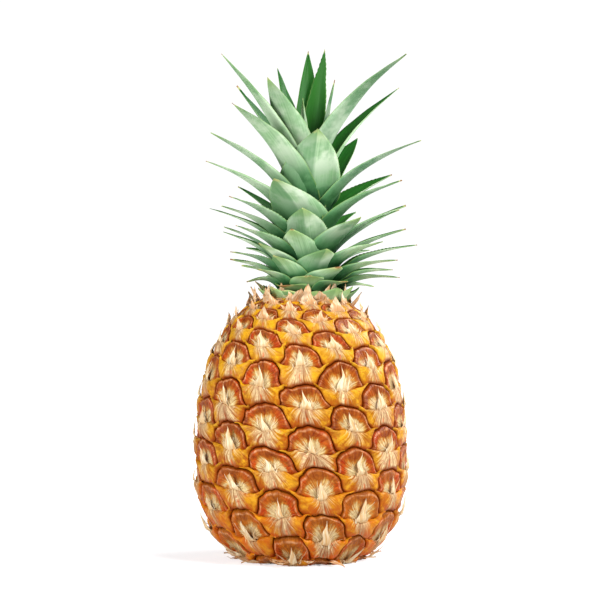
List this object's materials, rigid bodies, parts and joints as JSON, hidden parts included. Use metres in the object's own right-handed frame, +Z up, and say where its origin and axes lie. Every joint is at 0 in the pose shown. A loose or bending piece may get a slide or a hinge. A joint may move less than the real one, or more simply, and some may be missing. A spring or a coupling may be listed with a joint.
{
  "type": "pineapple",
  "caption": "Whole fresh pineapple standing on its base, with golden eyes in spiral rows and a tall crown of stiff green leaves.",
  "frame": {"origin": "middle of the flat spot that the fruit stands on", "axes": "+Z up along the fruit to the crown, -Y to the side seen in the picture, +X to the right as seen from there"},
  "size_m": [0.1183, 0.1125, 0.2655],
  "materials": {
    "fruit_skin": "waxy rind with dry papery tips, between matt and satin",
    "crown_leaf": "waxy leaf, satin, with a pale bloom on its underside"
  },
  "bodies": {
    "root": {"fruit": "fruit_skin", "crown": "crown_leaf"}
  },
  "joints": []
}
